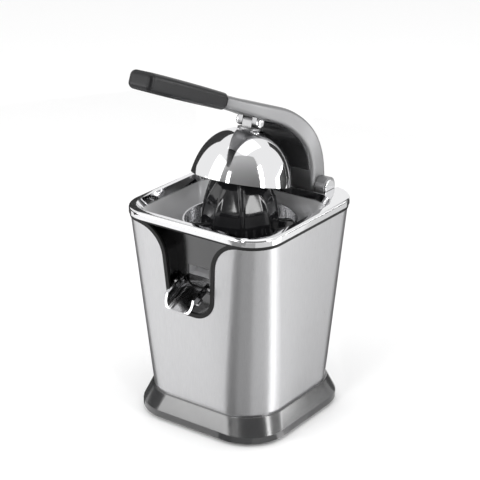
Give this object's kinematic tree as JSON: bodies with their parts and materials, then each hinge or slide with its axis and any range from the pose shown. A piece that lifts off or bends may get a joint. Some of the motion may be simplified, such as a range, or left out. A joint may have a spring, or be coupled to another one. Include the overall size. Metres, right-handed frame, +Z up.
{
  "type": "lever citrus press",
  "caption": "Lever citrus press: a dome on a gooseneck lever presses fruit on a driven fluted cone in a bowl with a tilting spout, over a tapered steel casing.",
  "frame": {"origin": "where the vertical drive axis meets the surface that the press stands on", "axes": "+Z up along the drive axis; -Y to the front, where the spout and the grip point; +X to the right seen from the front"},
  "size_m": [0.1672, 0.2289, 0.3711],
  "materials": {
    "brushed_steel": "stainless sheet brushed up and down",
    "polished_steel": "polished stainless steel",
    "strainer_steel": "thin punched stainless sheet",
    "cone_black": "glossy black moulding",
    "base_dark": "glossy dark grey moulding",
    "spout_steel": "polished pressed steel",
    "grip_black": "soft matte black sleeve",
    "insert_black": "glossy black insert",
    "lever_aluminium": "satin silver casting",
    "rubber_black": "matte black rubber",
    "inner_plastic": "dark moulding",
    "switch_red": "small red button",
    "machined_steel": "turned bright steel",
    "gear_nylon": "pale moulded gear",
    "screw_steel": "zinc-plated screw",
    "bronze": "sintered bronze",
    "plated_sheet": "zinc-plated steel",
    "rotor_iron": "laminated iron with windings"
  },
  "bodies": {
    "stand": {"foot_ring": "rubber_black", "base_plate": "inner_plastic", "base_screws": "screw_steel", "base_skirt": "base_dark", "casing": "brushed_steel", "casing_trim": "rubber_black", "cord_inlet": "rubber_black", "juice_bowl": "polished_steel", "shaft_seal": "rubber_black", "strainer": "strainer_steel", "spout_pins": "machined_steel", "return_spring": "machined_steel", "shaft_bush": "bronze", "start_switch": "inner_plastic", "lay_axle": "machined_steel", "gearbox_cover": "inner_plastic", "gearbox_plate": "plated_sheet", "frame_posts": "plated_sheet", "post_screws": "screw_steel", "motor_screws": "screw_steel", "motor_can": "plated_sheet", "motor_bell": "plated_sheet", "rear_column": "plated_sheet", "bracket_screws": "screw_steel", "hinge_bracket": "lever_aluminium", "hinge_pin": "machined_steel", "hinge_caps": "polished_steel"},
    "lever": {"lever_arm": "lever_aluminium", "arm_cover": "insert_black", "grip": "grip_black", "hinge_bushes": "bronze", "pivot_pin": "polished_steel"},
    "dome": {"press_dome": "polished_steel", "dome_hub": "lever_aluminium", "dome_screw": "screw_steel"},
    "plunger": {"thrust_collar": "machined_steel"},
    "spindle": {"drive_shaft": "machined_steel", "output_gear": "gear_nylon", "cone": "cone_black"},
    "lay": {"lay_gear": "gear_nylon"},
    "motor_rotor": {"rotor": "rotor_iron", "motor_shaft": "machined_steel", "motor_pinion": "machined_steel", "fan": "inner_plastic"},
    "spout_tray": {"spout": "spout_steel"},
    "button": {"switch_button": "switch_red"}
  },
  "joints": [
    {"name": "lever_hinge", "type": "hinge", "parent": "stand", "child": "lever", "pos_m": [0, 0.07, 0.2165], "axis": [-1, 0, 0], "range_deg": [-15, 55]},
    {"name": "dome_pivot", "type": "hinge", "parent": "lever", "child": "dome", "pos_m": [0, 0.01636, 0.28678], "axis": [-1, 0, 0], "range_deg": [-6, 6]},
    {"name": "shaft_plunge", "type": "slide", "parent": "stand", "child": "plunger", "axis": [0, 0, 1], "range_m": [-0.0025, 0], "stiffness_N_per_m": 3000, "springref_m": 0.002, "deforming": ["return_spring"]},
    {"name": "cone_spin", "type": "hinge", "parent": "plunger", "child": "spindle", "pos_m": [0, 0, 0.181], "axis": [0, 0, 1], "continuous": true},
    {"name": "lay_spin", "type": "hinge", "parent": "stand", "child": "lay", "pos_m": [0.033, 0, 0.11], "axis": [0, 0, 1], "continuous": true},
    {"name": "motor_spin", "type": "hinge", "parent": "stand", "child": "motor_rotor", "pos_m": [0.006, 0, 0.075], "axis": [0, 0, 1], "continuous": true},
    {"name": "spout_tilt", "type": "hinge", "parent": "stand", "child": "spout_tray", "pos_m": [0, -0.072, 0.15], "axis": [-1, 0, 0], "range_deg": [0, 30]},
    {"name": "button_slide", "type": "slide", "parent": "stand", "child": "button", "axis": [0, 0, 1], "range_m": [-0.0025, 0]}
  ],
  "couplings": [
    {"joint": "lay_spin", "follows": "cone_spin", "ratio": -4},
    {"joint": "motor_spin", "follows": "cone_spin", "ratio": 16},
    {"joint": "button_slide", "follows": "shaft_plunge", "ratio": 1}
  ]
}
